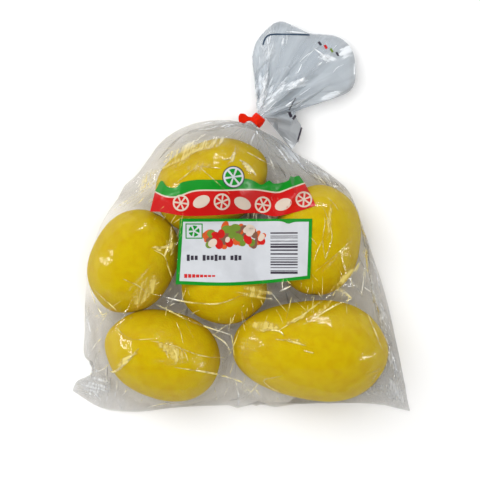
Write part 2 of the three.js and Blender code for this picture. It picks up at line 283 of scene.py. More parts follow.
def finer_along(rows, times):
    """More rows, on smooth curves through the points of those there are."""
    out = np.empty(((len(rows) - 1) * times + 1,) + rows.shape[1:])
    pad = np.concatenate([2 * rows[:1] - rows[1:2], rows, 2 * rows[-1:] - rows[-2:-1]])
    p0, p1, p2, p3 = pad[:-3], pad[1:-2], pad[2:-1], pad[3:]
    for i in range(times):
        f = i / times
        bend = (2 * p0 - 5 * p1 + 4 * p2 - p3) * f ** 2 + (3 * p1 - p0 - 3 * p2 + p3) * f ** 3
        out[i:-1:times] = 0.5 * (2 * p1 + (p2 - p0) * f + bend)
    out[-1] = rows[-1]
    return out


def correction(a, b, rest, strength):
    """Half of what takes the edges from a to b back to their rest length."""
    edge = b - a
    length = np.sqrt(np.einsum("...i,...i->...", edge, edge)) + 1e-9
    return edge * (0.5 * strength * (length - rest) / length)[..., None]


def settle(rows, around, along, free, rounds, bending, weight, folds):
    """Lets the film find creases of its own. Each round takes its edges back to their lengths around,
    along and across the cells, and keeps it outside the lemons and its two sides in order."""
    count, wide, _ = rows.shape
    half = wide // 2
    between = 0.5 * (around[:-1] + around[1:])
    crossing = np.sqrt(between ** 2 + (0.5 * (along + np.roll(along, -1, 1))) ** 2)
    move = free.astype(float)[..., None]
    inner = np.arange(1, len(folds[0]) - 1)
    mouth = rows[-1].copy()
    for _ in range(rounds):
        rows[..., 2] -= weight * free
        for shift in (0, -1):
            turned, lengths, w = (np.roll(x, shift, 1) for x in (rows, around, move))
            fix = correction(turned[:, 0::2], turned[:, 1::2], lengths[:, 0::2], 1.0)
            turned[:, 0::2] += fix * w[:, 0::2]
            turned[:, 1::2] -= fix * w[:, 1::2]
            rows = np.roll(turned, -shift, 1)
        for start in (0, 1):
            n = (count - start) // 2
            low, high = slice(start, start + 2 * n, 2), slice(start + 1, start + 2 * n, 2)
            fix = correction(rows[low], rows[high], along[low][:n], 1.0)
            rows[low] += fix * move[low]
            rows[high] -= fix * move[high]
            for shift in (-1, 1):
                rest = crossing[low][:n] if shift == -1 else np.roll(crossing[low][:n], 1, 1)
                fix = correction(rows[low], np.roll(rows[high], shift, 1), rest, 0.8)
                rows[low] += fix * move[low]
                rows[high] -= np.roll(fix, -shift, 1) * move[high]
        rows += bending * (0.5 * (np.roll(rows, 1, 1) + np.roll(rows, -1, 1)) - rows) * move
        rows[1:-1] += bending * (0.5 * (rows[:-2] + rows[2:]) - rows[1:-1]) * move[1:-1]
        for fold, column in zip(folds, (0, half)):
            rows[inner, column, :2] += FOLD_HOLD * (fold[inner] - rows[inner, column, :2])
        rows[-1] += MOUTH_HOLD * (mouth - rows[-1])
        held = rows[~free].copy()
        push_out(rows, FILM_GAP)
        apart = 0.5 * np.maximum(SIDES_APART - rows[:, 1:half, 2] + rows[:, :half:-1, 2], 0)
        rows[:, 1:half, 2] += apart
        rows[:, :half:-1, 2] -= apart
        rows[..., 2] = np.maximum(rows[..., 2], FLOOR_GAP)
        rows[~free] = held
    return rows


def facet(rows, free):
    """Flattens what is nearly flat and keeps what bends sharply, as stiff film does."""
    move = 0.25 * free.astype(float)[..., None]
    for _ in range(FLAT_ROUNDS):
        bend = 0.5 * (np.roll(rows, 1, 1) + np.roll(rows, -1, 1)) - rows
        rows = rows + move * bend / (1 + (bend ** 2).sum(-1, keepdims=True) / FLAT_BEND ** 2)
        bend = 0.5 * (rows[:-2] + rows[2:]) - rows[1:-1]
        rows[1:-1] += move[1:-1] * bend / (1 + (bend ** 2).sum(-1, keepdims=True) / FLAT_BEND ** 2)
        held = rows[~free].copy()
        push_out(rows, FILM_GAP)
        rows[~free] = held
    return rows


def film_rows():
    """The creased film as a grid of points: rows from the seal to the mouth, and points round each."""
    random = np.random.default_rng(3)
    rows = finer_along(finer_around(np.concatenate([tight_skin(), free_end()])), 3)
    body = ROWS_BODY * 3
    around = np.linalg.norm(np.roll(rows, -1, 1) - rows, axis=2)
    along = np.linalg.norm(np.diff(rows, axis=0), axis=2)
    number = np.arange(len(rows))
    from_neck = np.linalg.norm(rows - NECK, axis=2).mean(1)
    slack = 1 + SLACK_AROUND + NECK_SLACK * np.exp(-((from_neck / NECK_SLACK_REACH) ** 2)) * (number < body)
    held = around[body:].copy()
    around = ((1 - FLATNESS) * around + FLATNESS * around.mean(1, keepdims=True)) * slack[:, None]
    around[body:] = held
    line = along[:body].sum(0)
    line = np.maximum(line, 0.8 * line.max()) / body
    along[:body] = ((1 - FLATNESS) * along[:body] + FLATNESS * line) * (1 + SLACK_ALONG)
    for level, (rounds, bending) in enumerate(zip((FIRST_ROUNDS, SECOND_ROUNDS), BENDING)):
        if level == 1:
            rows = finer_along(finer_around(rows), 2)
            around = finer_along(finer_around(around[..., None]), 2)[..., 0] / 2
            along = np.repeat(finer_around(along[..., None])[..., 0] / 2, 2, axis=0)
            body *= 2
        free = np.ones(rows.shape[:2], bool)
        free[0] = free[body:] = False
        if level == 0:
            noise = random.normal(0, 1.0, (len(rows) // 4 + 2, rows.shape[1] // 4, 3))
            noise = finer_around(finer_around(finer_along(noise, 4)))
            rows += noise[:rows.shape[0], :rows.shape[1]] * free[..., None]
        folds = side_folds(rows[0], rows[body], body + 1)
        rows = settle(rows, around, along, free, rounds, bending, WEIGHT / (level + 1), folds)
    return facet(rows, free)


def clearance(points, plan=False):
    """How far points are from the nearest lemon, or in plan from its outline."""
    best = np.full(points.shape[:-1], 1e9)
    for lemon in PLACED:
        out = points - lemon.centre
        if plan:
            out[..., 2] = 0
        distance = np.sqrt((out ** 2).sum(-1)) + 1e-9
        best = np.minimum(best, distance - lemon_reach(out @ lemon.axis / distance, lemon))
    return best


def scattered(front, pitch, random):
    """Places on a grid of points at random, about a pitch apart and closer near the neck."""
    count, wide, _ = front.shape
    sites, taken = [], []
    for _ in range(SITE_TRIES):
        i, j = int(random.integers(3, count - 3)), int(random.integers(3, wide - 3))
        point = front[i, j]
        closer = 1 - 0.5 * math.exp(-np.linalg.norm(point - NECK) / CLOSE_REACH)
        apart = pitch * closer * random.uniform(0.6, 1.6)
        if not taken or (np.linalg.norm(np.array(taken) - point, axis=1) > apart).all():
            sites.append((i, j))
            taken.append(point)
    return sites


def crumpled(rows, first, last, pitch, depth, seed):
    """Stiff flat facets with sharp edges between them, on the printed side from one row to another: the
    film there is stretched from site to site, each site pushed in or out a little."""
    random = np.random.default_rng(seed)
    half = rows.shape[1] // 2
    front = rows[first:last + 1, :half + 1]
    count, wide, _ = front.shape
    sites = scattered(front, pitch, random)
    normal = normals_of(rows)[first:last + 1]
    where = [front[i, j] + normal[i, j] * (FACET_LIFT + random.normal(0, depth)) for i, j in sites]
    rim = {(i, j) for i in (*range(0, count, 3), count - 1) for j in (0, wide - 1)}
    rim |= {(i, j) for i in (0, count - 1) for j in (*range(0, wide, 3), wide - 1)}
    sites += sorted(rim)
    where += [front[i, j] for i, j in sorted(rim)]
    number = {site: k for k, site in enumerate(sites)}
    faceted = front.copy()
    made = delaunay_2d_cdt([Vector(site) for site in sites], [], [], 0, 1e-5)
    for face in made[2]:
        corners = [tuple(int(round(c)) for c in made[0][k]) for k in face]
        (i0, j0), (i1, j1), (i2, j2) = corners
        area = (i1 - i0) * (j2 - j0) - (i2 - i0) * (j1 - j0)
        if not area:
            continue
        i, j = np.meshgrid(np.arange(min(i0, i1, i2), max(i0, i1, i2) + 1),
                           np.arange(min(j0, j1, j2), max(j0, j1, j2) + 1), indexing="ij")
        b = ((i - i0) * (j2 - j0) - (i2 - i0) * (j - j0)) / area
        c = ((i1 - i0) * (j - j0) - (i - i0) * (j1 - j0)) / area
        inside = (b >= -1e-9) & (c >= -1e-9) & (b + c <= 1 + 1e-9)
        p0, p1, p2 = (where[number[site]] for site in corners)
        b, c = b[inside][:, None], c[inside][:, None]
        faceted[i[inside], j[inside]] = (1 - b - c) * p0 + b * p1 + c * p2
    inner = front[1:-1, 1:-1] + FACET_SHARE * (faceted - front)[1:-1, 1:-1]
    push_out(inner, LEAST_GAP)
    rows[first + 1:last, 1:half] = inner
    return rows


# ---- creases ----
# Long creases that the filling pulls into the film: half width, height, and points in plan.
CREASES = [
    (0.45, 0.5, [(-93.6, -46.3), (-85.4, -53.6), (-76.7, -61.5)]),
    (0.3, 0.3, [(-98, -41.8), (-93.2, -55.1), (-87.7, -63.9)]),
    (0.35, 0.4, [(-83.8, -63.9), (-76.7, -72.5), (-69.6, -76.9), (-54.6, -76.9)]),
    (0.4, 0.4, [(-74.3, -39.4), (-64.1, -44.2), (-59.4, -48.8)]),
    (0.5, 0.6, [(-56.3, -48.8), (-40.5, -52.8), (-27.9, -54.8), (-13.7, -54.8), (-1.1, -50.4), (6.8, -48.1)]),
    (0.5, 0.6, [(-56.3, -54.4), (-46, -59.1), (-31.8, -66.1), (-6.6, -74.8)]),
    (0.45, 0.5, [(-18.4, -74.1), (-9.7, -80.4), (-6.6, -86.7)]),
    (0.35, 0.4, [(-57, -78), (-44, -80.5), (-28.6, -86.5), (-17.6, -89), (-6.6, -88.6)]),
    (0.5, 0.4, [(-50.5, -80), (-47.5, -84), (-45.5, -89)]),
    (0.6, 0.4, [(-44.5, -80.5), (-41, -85.5), (-40, -91)]),
    (0.4, 0.4, [(-38.5, -83), (-35, -86), (-33.5, -90.5)]),
    (0.6, 0.3, [(-42, -94.5), (-20.8, -98.5), (-1.1, -104.8), (11.5, -111.1)]),
    (0.9, 0.6, [(-85.4, -99.7), (-79.1, -97.7), (-72, -91.4), (-68.8, -88.2), (-64.1, -82.7)]),
    (0.35, 0.35, [(-88.1, -100.8), (-86.5, -110.7)]),
    (0.4, 0.35, [(-96, -114.6), (-92.1, -118.6)]),
    (0.35, 0.3, [(-62.5, -124), (-51.5, -120.9), (-42.8, -119), (-37.3, -121.5)]),
    (0.4, 0.4, [(-54.8, -21.3), (-48.3, -25.2), (-46.4, -31), (-41.8, -44)]),
    (0.35, 0.4, [(77.8, -20.2), (75.4, -28.6), (72.4, -35.5)]),
    (0.4, 0.4, [(78.4, -21.3), (70.8, -35.5), (63.1, -43.9)]),
    (0.8, 0.6, [(57.8, -47), (62.4, -46.6), (69.3, -51.6)]),
    (0.5, 0.6, [(57.8, -47.7), (46.3, -56.2), (35.5, -63.9), (23.3, -71.5)]),
    (0.5, 0.4, [(69.3, -52), (58.6, -56.2), (47.9, -62.3), (38.6, -67.7)]),
    (0.6, 0.5, [(11.8, -71.5), (23.3, -71.9), (27.1, -75.4)]),
    (0.6, 0.5, [(21, -76.9), (30, -78), (40.2, -80.8)]),
    (0.4, 0.3, [(38.6, -83.8), (44.8, -85.3)]),
    (0.3, 0.35, [(50.9, -14.8), (47.9, -20.9), (45.5, -27.8)]),
    (0.3, 0.35, [(56.3, -14.8), (52.4, -27.1)]),
    (0.3, 0.35, [(70.1, -14.8), (58.6, -24.7), (46.3, -34.7)]),
    (0.3, 0.35, [(50.3, 8.9), (56.6, -11.5), (55.4, -19.3), (52.3, -28)]),
    (0.3, 0.35, [(51.4, 1.1), (52.3, -3.7), (50.7, -14.7), (52.3, -26.5)]),
    (0.35, 0.4, [(79.3, -14.8), (77.8, -37.8), (75.4, -51.6)]),
    (0.4, 0.3, [(80, -62.3), (88.5, -83.8)]),
    (0.3, 0.3, [(25.6, -99.9), (14.1, -103.8), (27.1, -113.7)]),
    (0.5, 0.4, [(23.3, -47.7), (31, -43.9)]),
    (0.5, 0.5, [(-3.5, 44.7), (-4.3, 40.8), (-7.4, 36), (-12.1, 35.3)]),
    (0.9, 0.6, [(-1.1, 35.3), (4.5, 31.4), (9.2, 25.8)]),
    (0.35, 0.4, [(-27.1, 31.4), (-6.6, 13.2)]),
    (0.35, 0.4, [(-27.1, 31.4), (-12.9, 29.7)]),
    (0.4, 0.3, [(-27.1, 31.4), (-42.8, 19.5)]),
    (0.6, 0.4, [(-48.3, 36.8), (-43.6, 41.6)]),
    (0.8, 0.6, [(-44, -6.5), (-46, -18.4), (-56.3, -19.9)]),
    (0.7, 0.5, [(-46, -18.4), (-48.3, -25.4)]),
    (0.5, 0.4, [(-41.6, -16.7), (-44.4, -24.7)]),
    (0.35, 0.3, [(3.4, 40.5), (21.5, 31)]),
    (0.4, 0.4, [(9.6, 54.8), (10.4, 52.6)]),
    (0.8, 0.7, [(9.9, 70.6), (13, 78.7), (16.1, 88.7), (17.4, 94.3)]),
    (0.7, 0.6, [(10.8, 92.4), (10.5, 86.2), (11.1, 80)]),
    (0.5, 0.6, [(9.9, 70.6), (20.5, 85), (29.2, 87.4)]),
    (0.6, 0.5, [(36.6, 87.4), (41, 90.5)]),
    (0.8, 0.6, [(14.3, 71), (24.2, 80), (26.7, 83.7)]),
    (0.5, 0.4, [(28.6, 71.9), (32.9, 75)]),
    (0.5, 0.4, [(49.1, 98), (52.2, 100.5)]),
    (0.5, 0.4, [(27.3, 116.1), (26.7, 111.1)]),
    (0.4, 0.4, [(29.2, 120.4), (42.2, 119.2)]),
    (0.5, 0.4, [(46.6, 109.8), (56.5, 102.4)]),
    (0.4, 0.4, [(73.3, 99.9), (73.3, 91.2)]),
    (0.4, 0.4, [(60.3, 81.8), (64, 80)]),
    (0.4, 0.4, [(16.7, 116.1), (18, 102.4), (16.7, 94.9)]),
]

# Crushed patches: middle in plan, half length, half width, heading, depth of the crumples, and whiteness,
# which is a painted highlight.
CRUSHED = [
    (9.5, -48, 12, 6, 0, 0.45, 0.52),
    (-61, -46, 15, 9, 60, 0.20, 0.52),
    (3, -84, 8, 9, 0, 0.25, 0.48),
    (85, -102, 8, 8, 30, 0.30, 0.52),
    (-43, -84, 13, 6, -30, 0.30, 0.58),
    (-43, -91, 12, 3, -5, 0.30, 0.50),
    (-73.5, -91.4, 9, 1.8, 35, 0.35, 0.85),
    (-52, -20.5, 3.5, 2.2, -20, 0.35, 0.80),
    (-44.5, -18, 9, 1.6, 80, 0.35, 0.70),
    (-5.3, 37, 6, 1.4, 60, 0.35, 0.75),
    (3.5, 30.5, 6, 2, -45, 0.40, 0.80),
    (-27, 32, 9, 7, 20, 0.30, 0.42),
    (-38, 38, 20, 9, 40, 0.30, 0.54),
    (-20, 46, 16, 5, 20, 0.30, 0.46),
    (31, 41, 12, 8, -40, 0.30, 0.70),
    (50, 30, 16, 7, -50, 0.35, 0.50),
    (80, -8, 18, 3, -70, 0.30, 0.50),
    (83, -40, 22, 2.2, -78, 0.40, 0.52),
    (87, -55, 26, 2, -76, 0.40, 0.60),
    (93, -66, 22, 2.6, -74, 0.40, 0.52),
    (99, -94, 18, 2.4, -72, 0.40, 0.58),
    (-62, 18, 20, 7, 48, 0.40, 0.45),
    (66, -37, 12, 3.2, 52, 0.30, 0.68),
    (62, -48, 8, 4, -20, 0.40, 0.50),
    (55, -6, 14, 1.6, 85, 0.30, 0.60),
    (60, -25, 18, 1.4, 48, 0.30, 0.55),
    (19.4, -70, 8, 2, 5, 0.35, 0.75),
    (14, -69, 10, 6, 10, 0.25, 0.48),
    (37, -62.5, 9, 2, 30, 0.35, 0.62),
    (52, -57, 8, 2, 32, 0.35, 0.62),
    (32, -77.5, 8, 1.6, -12, 0.35, 0.62),
    (93, -101, 6, 6, 60, 0.55, 0.40),
    (-96, -110, 14, 8, 0, 0.40, 0.52),
    (100, -114, 13, 8, -50, 0.55, 0.52),
    (86, -112, 14, 6, 10, 0.45, 0.46),
    (12.5, 83, 17, 6, 78, 0.45, 0.70),
    (22, 82, 12, 5, 50, 0.45, 0.60),
    (36, 86, 9, 5, 30, 0.40, 0.58),
    (55, 103, 7, 2.5, -10, 0.40, 0.60),
    (68, 108, 6, 3.5, 35, 0.30, 0.85),
    (17, 108, 9, 5, 70, 0.35, 0.45),
    (58, 79, 9, 2.5, 25, 0.35, 0.50),
]


def normals_of(rows):
    """The directions out of the film at the points of a grid."""
    du = np.roll(rows, -1, 1) - np.roll(rows, 1, 1)
    dv = np.gradient(rows, axis=0)
    normal = np.cross(du, dv)
    return normal / (np.linalg.norm(normal, axis=2, keepdims=True) + 1e-9)


def distance_to_line(plan, line):
    """Distance of points to a line of points, and how far along it the nearest place is, 0 to 1."""
    best = np.full(plan.shape[:-1], 1e9)
    place = np.zeros(plan.shape[:-1])
    lengths = np.linalg.norm(np.diff(line, axis=0), axis=1)
    before = np.concatenate([[0], np.cumsum(lengths)])
    for i, (a, b) in enumerate(zip(line[:-1], line[1:])):
        t = np.clip(((plan - a) @ (b - a)) / lengths[i] ** 2, 0, 1)
        distance = np.linalg.norm(plan - a - t[..., None] * (b - a), axis=-1)
        nearer = distance < best
        best[nearer] = distance[nearer]
        place[nearer] = (before[i] + t[nearer] * lengths[i]) / before[-1]
    return best, place


def creased(rows):
    """Raises broad ridges under the long creases and crumples the patches of CRUSHED, on the printed side.
    Also gives how white each point is: the painted highlight on those patches."""
    random = np.random.default_rng(11)
    half = rows.shape[1] // 2
    front = rows[:, 1:half]
    plan = front[..., :2]
    lift, white = np.zeros(plan.shape[:2]), np.zeros(plan.shape[:2])
    for width, height, points in CREASES:
        line = curve(points, 12)
        reach = 2.0 + 2.0 * width
        distance, place = distance_to_line(plan, line)
        lift = np.maximum(lift, height * (1 - distance / reach).clip(0) * np.sin(np.pi * place) ** 0.5)
    pleats = random.normal(0, 1, 400)
    grain = random.normal(0, 1, plan.shape[:2])
    coarse = random.normal(0, 1, (plan.shape[0] // 3 + 2, plan.shape[1] // 3 + 2))
    coarse = np.repeat(np.repeat(coarse, 3, 0), 3, 1)[:plan.shape[0], :plan.shape[1]]
    for x, y, long, wide, heading, depth, glint_whiteness in CRUSHED:
        h = heading * RAD
        along = ((plan[..., 0] - x) * math.cos(h) + (plan[..., 1] - y) * math.sin(h)) / long
        aside = ((plan[..., 1] - y) * math.cos(h) - (plan[..., 0] - x) * math.sin(h)) / wide
        place = aside * wide / 0.9 + along * long / 4.0 + 9.7 * x
        ragged = np.interp(place, np.arange(len(pleats)), pleats, period=len(pleats))
        inside = smoothstep(1.05 - np.hypot(along, aside) + 0.22 * ragged, 0, 0.6)
        lift += depth * inside * (0.45 * grain + 0.55 * coarse).clip(-1.5, 1.5)
        # How white a patch is: a painted highlight.
        white = np.maximum(white, glint_whiteness * inside * (0.85 + 0.15 * ragged).clip(0.4, 1))
    front += normals_of(rows)[:, 1:half] * lift[..., None]
    rows[..., 2] = np.maximum(rows[..., 2], FLOOR_GAP)
    painted_glints = np.zeros(rows.shape[:2])
    painted_glints[:, 1:half] = white
    return rows, painted_glints


def veil_of(rows):
    """How milky each point of the film is: clear on and over the lemons, milkier where it is loose, near the
    neck and past it, and most along the free end's edges and at its far right, where the milk turns a darker
    grey that is painted shade."""
    number, wide = np.arange(len(rows)), rows.shape[1]
    beside = smoothstep(clearance(rows, True), -3, 5)
    loose = smoothstep(clearance(rows), 5, 22) * (0.15 + 0.85 * beside)
    gathered = np.exp(-((np.linalg.norm(rows - NECK, axis=2) / VEIL_REACH) ** 2))
    veil = VEIL_FAR * loose
    veil += VEIL_GATHER * gathered * (0.2 + 0.8 * beside)
    past = smoothstep(number, FINE_BODY, FINE_NECK + 24)[:, None]
    veil += (VEIL_TAIL - veil) * past
    column, (t, _) = np.arange(wide) % (wide // 2), across(wide)
    rim = 1 - smoothstep(np.minimum(column, wide // 2 - column), 3, 9)[None, :]
    rim = np.maximum(rim, smoothstep(number, number[-1] - 7, number[-1] - 3)[:, None])
    veil += VEIL_RIM * rim * past
    # At the far right of the free end the veil reaches the ramp's darker grey: painted shade.
    veil += (VEIL_RIGHT * smoothstep(t, 0.4, 0.6) + VEIL_AND_SHADE_FAR_RIGHT * smoothstep(t, 0.84, 0.9)) * past
    return veil


# ---- making meshes ----
def object_from(name, points, faces, material):
    """A mesh object from points in millimetres."""
    mesh = bpy.data.meshes.new(name)
    mesh.from_pydata((np.asarray(points) * MM).tolist(), [], [list(map(int, f)) for f in faces])
    mesh.materials.append(material)
    mesh.polygons.foreach_set("use_smooth", [True] * len(mesh.polygons))
    mesh.update()
    made = bpy.data.objects.new(name, mesh)
    bpy.context.scene.collection.objects.link(made)
    return made


def carry(piece, layer, values):
    """Gives each point of a mesh a value of its own, for its material."""
    attribute = piece.data.attributes.new(layer, "FLOAT", "POINT")
    attribute.data.foreach_set("value", np.asarray(values, np.float32).ravel())


def grid_faces(count, wide, wrap):
    """The quads of a grid of points, closed round its rows or open."""
    k = np.arange(wide if wrap else wide - 1)
    row = (np.arange(count - 1) * wide)[:, None]
    after = (k + 1) % wide
    return np.stack([row + k, row + after, row + wide + after, row + wide + k], -1).reshape(-1, 4)


def dress(piece, slot, *nodes):
    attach(piece, "root")
    if nodes:
        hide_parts(*nodes)


# ---- materials ----
def paint(*screen):
    """A screen colour, three numbers from 0 to 255, as the linear colour that the shaders take."""
    return (*(c / 255 / 12.92 if c < 10.3 else ((c / 255 + 0.055) / 1.055) ** 2.4 for c in screen), 1)


def darker(colour, share):
    return (*(share * c for c in colour[:3]), 1)


def feed(tree, socket, value):
    """Links a socket to another, or sets its value."""
    if isinstance(value, bpy.types.NodeSocket):
        tree.links.new(value, socket)
    else:
        socket.default_value = value


def fill(tree, made, values):
    """Feeds a node's sockets, with _ for the spaces in their names, or else sets its properties."""
    for key, value in values.items():
        socket = key.replace("_", " ")
        if socket in made.inputs:
            feed(tree, made.inputs[socket], value)
        else:
            setattr(made, key, value)


def node(tree, kind, **values):
    made = tree.nodes.new(kind)
    fill(tree, made, values)
    return made


def new_material(name, **values):
    material = bpy.data.materials.new(name)
    material.use_nodes = True
    tree = material.node_tree
    shader = tree.nodes["Principled BSDF"]
    fill(tree, shader, values)
    return material, tree, shader


def noise(tree, scale, detail=2.0, distortion=0.0, place="Object"):
    where = node(tree, "ShaderNodeTexCoord").outputs[place]
    made = node(tree, "ShaderNodeTexNoise", Vector=where, Scale=scale, Detail=detail, Distortion=distortion)
    return made.outputs["Fac"]


def carried(tree, layer):
    """A value that the mesh's points carry."""
    return node(tree, "ShaderNodeAttribute", attribute_name=layer).outputs["Fac"]


def maths(tree, operation, *values, clamp=False):
    made = node(tree, "ShaderNodeMath", operation=operation, use_clamp=clamp)
    for socket, value in zip(made.inputs, values):
        feed(tree, socket, value)
    return made.outputs[0]


def plus(tree, a, b, clamp=False):
    return maths(tree, "ADD", a, b, clamp=clamp)


def times(tree, a, b):
    return maths(tree, "MULTIPLY", a, b)


def scaled(tree, value, factor, offset):
    """A value times a factor plus an offset, kept between 0 and 1."""
    return maths(tree, "MULTIPLY_ADD", value, factor, offset, clamp=True)


def bump(tree, shader, height, strength, distance):
    made = node(tree, "ShaderNodeBump", Height=height, Strength=strength, Distance=distance)
    feed(tree, shader.inputs["Normal"], made.outputs["Normal"])


def ramp(tree, factor, stops):
    """A colour that changes with a factor, through stops of a place and a colour."""
    made = node(tree, "ShaderNodeValToRGB", Fac=factor)
    for _ in stops[2:]:
        made.color_ramp.elements.new(1.0)
    for element, (position, colour) in zip(made.color_ramp.elements, stops):
        element.position, element.color = position, colour
    return made.outputs["Color"]


def mixed(tree, factor, *colours):
    made = node(tree, "ShaderNodeMix", data_type="RGBA", Factor=factor)
    for socket, colour in zip((6, 7), colours):
        feed(tree, made.inputs[socket], colour)
    return made.outputs[2]


def mixed_shaders(tree, factor, *shaders):
    made = node(tree, "ShaderNodeMixShader", Fac=factor)
    for socket, shader in zip((1, 2), shaders):
        feed(tree, made.inputs[socket], shader.outputs[0])
    return made


def film_material(name, milk, haze, edge, gloss, most_gloss):
    """Clear film: see-through, milkier where it is loose or seen edge-on, under a clear gloss, with painted
    highlights on its crumpled patches and where it is loose, and painted light and shade on its loose folds.
    """
    material, tree, shader = new_material(name, Roughness=0.6, Specular_IOR_Level=0.1)
    veil, crushed_glint = carried(tree, "veil"), carried(tree, "crushed_glint")
    # Base colour: the film's milk, with its painted bounce and shade, turning to the painted highlight's
    # colour on the crumpled patches
    milk_and_glint = mixed(tree, scaled(tree, crushed_glint, 1.3, 0), ramp(tree, veil, milk), ramp(tree, veil, GLINT))
    feed(tree, shader.inputs["Base Color"], milk_and_glint)
    clear = node(tree, "ShaderNodeBsdfTransparent", Color=ramp(tree, veil, CLEAR))
    facing = node(tree, "ShaderNodeLayerWeight", Blend=0.5).outputs["Facing"]
    steep = times(tree, maths(tree, "POWER", facing, 4.0), edge)
    # On the crease strips, the painted highlight is broken up along them; on the film itself haze is 0.
    broken = times(tree, scaled(tree, noise(tree, 150, 3), 5.0, -2.0), haze)
    # Crumpled patches: a soft cover with streaks in it that run along the bag, which is a painted highlight
    glint_crumbs = scaled(tree, plus(tree, crushed_glint, noise(tree, 2.4, 5, 0.8, "UV")), 4.2, -3.55)
    glint_crumbs = maths(tree, "MULTIPLY_ADD", glint_crumbs, 0.6, times(tree, crushed_glint, 0.28))
    # Loose film: painted light and shade of broad folds, and fine painted crease highlights that break up and
    # fade out on the free end
    folds = scaled(tree, noise(tree, 0.35, 3, 0.3, "UV"), 2.6, -0.8)
    crossing = maths(tree, "ABSOLUTE", maths(tree, "SUBTRACT", noise(tree, 0.9, 3, 0.6, "UV"), 0.5))
    glint_lines = times(tree, scaled(tree, crossing, -55.0, 1.0), scaled(tree, noise(tree, 60), 6.0, -2.9))
    glint_lines = times(tree, glint_lines, scaled(tree, veil, -2.1, 1.0))
    streaks = plus(tree, plus(tree, folds, 0.5), times(tree, glint_lines, 2.0))
    cover = plus(tree, glint_crumbs, times(tree, veil, streaks))
    cover = plus(tree, plus(tree, steep, broken), cover, clamp=True)
    shine = node(tree, "ShaderNodeBsdfAnisotropic", Color=(1, 1, 1, 1), Roughness=0.13)
    for wavy in (shader, shine):
        bump(tree, wavy, noise(tree, 260, 3, 0.6), 0.35, 0.0006)
    fresnel = node(tree, "ShaderNodeFresnel", IOR=1.5).outputs[0]
    share = maths(tree, "MINIMUM", times(tree, fresnel, gloss), most_gloss)
    made = mixed_shaders(tree, share, mixed_shaders(tree, cover, clear, shader), shine)
    feed(tree, tree.nodes["Material Output"].inputs["Surface"], made.outputs[0])
    return material


def ink_material(name, colour, roughness):
    """Print on film: a flat colour with slight unevenness under a gloss."""
    material, tree, shader = new_material(name, Roughness=roughness, Specular_IOR_Level=0.25,
                                          Coat_Weight=0.15, Coat_Roughness=0.12)
    colour = darker(colour, 0.85)
    uneven = mixed(tree, noise(tree, 160, 3), darker(colour, 0.86), colour)
    feed(tree, shader.inputs["Base Color"], uneven)
    bump(tree, shader, noise(tree, 420, 2), 0.12, 0.0004)
    return material


def peel_material():
    """Waxy lemon peel: golden yellow, a little deeper in places, and brown at the stem end."""
    material, tree, shader = new_material("peel", Roughness=0.5, Specular_IOR_Level=0.05,
                                          Subsurface_Weight=0.2, Subsurface_Radius=(1.0, 0.5, 0.02),
                                          Subsurface_Scale=0.004)
    peel = ramp(tree, noise(tree, 150, 5, 0.4), ((0.3, PEEL_DEEP), (0.62, PEEL)))
    feed(tree, shader.inputs["Base Color"], mixed(tree, carried(tree, "stem"), peel, STEM_BROWN))
    place = node(tree, "ShaderNodeTexCoord").outputs["Object"]
    cells = node(tree, "ShaderNodeTexVoronoi", Vector=place, Scale=850)
    bump(tree, shader, cells.outputs["Distance"], 0.2, 0.0003)
    return material


def tape_material():
    """Orange-red tape, darker in places."""
    material, tree, shader = new_material("tape", Roughness=0.5, Specular_IOR_Level=0.1)
    colour = ramp(tree, noise(tree, 500, 3), ((0.0, darker(TAPE_RED, 0.6)), (1.0, TAPE_RED)))
    feed(tree, shader.inputs["Base Color"], colour)
    bump(tree, shader, noise(tree, 1000, 3), 0.4, 0.00015)
    return material


PEEL, PEEL_DEEP, STEM_BROWN = paint(205, 178, 2), paint(198, 164, 1), paint(96, 84, 40)
TAPE_RED = paint(242, 36, 0)
# By the veil, which is 0 on the lemons and highest on the free end: the film's own colour, yellowed where the
# veil is lowest by painted light bounced from the lemons, and a darker grey where it is highest as painted
# shade; the colour of the painted highlight on its crumpled patches and creases; and the share of light that
# it lets through
MILK_BOUNCE_AND_SHADE = ((0.0, paint(210, 180, 75)), (0.035, paint(214, 211, 202)), (0.42, paint(200, 208, 215)),
        (0.8, paint(156, 159, 162)))
GLINT = ((0.0, paint(240, 222, 130)), (0.03, paint(240, 233, 208)), (0.12, paint(230, 233, 238)),
         (0.42, paint(236, 240, 244)))
CLEAR = ((0.0, (0.97, 0.97, 0.97, 1)), (0.05, (0.82, 0.81, 0.795, 1)), (0.12, (0.90, 0.897, 0.897, 1)),
         (0.42, (0.91, 0.92, 0.93, 1)))
FILM = film_material("film", MILK_BOUNCE_AND_SHADE, haze=0.0, edge=0.03, gloss=0.7, most_gloss=0.032)
# The crease strips: their pale, nearly opaque cover is a painted highlight along each crease.
CREASE_GLINT = film_material("crease", GLINT, haze=0.9, edge=0.1, gloss=4.0, most_gloss=0.12)
PEEL_SKIN = peel_material()
TAPE = tape_material()
INK_COLOURS = {
    "red": (214, 18, 16), "green": (10, 150, 34), "white": (219, 222, 227), "cream": (232, 214, 196),
    "orange": (226, 96, 40), "brown": (134, 92, 72), "lime": (120, 150, 50), "dark": (62, 56, 68),
    "blue": (50, 72, 96),
}
INKS = {ink: ink_material("ink_" + ink, paint(*colour), 0.35 if ink == "white" else 0.28)
        for ink, colour in INK_COLOURS.items()}


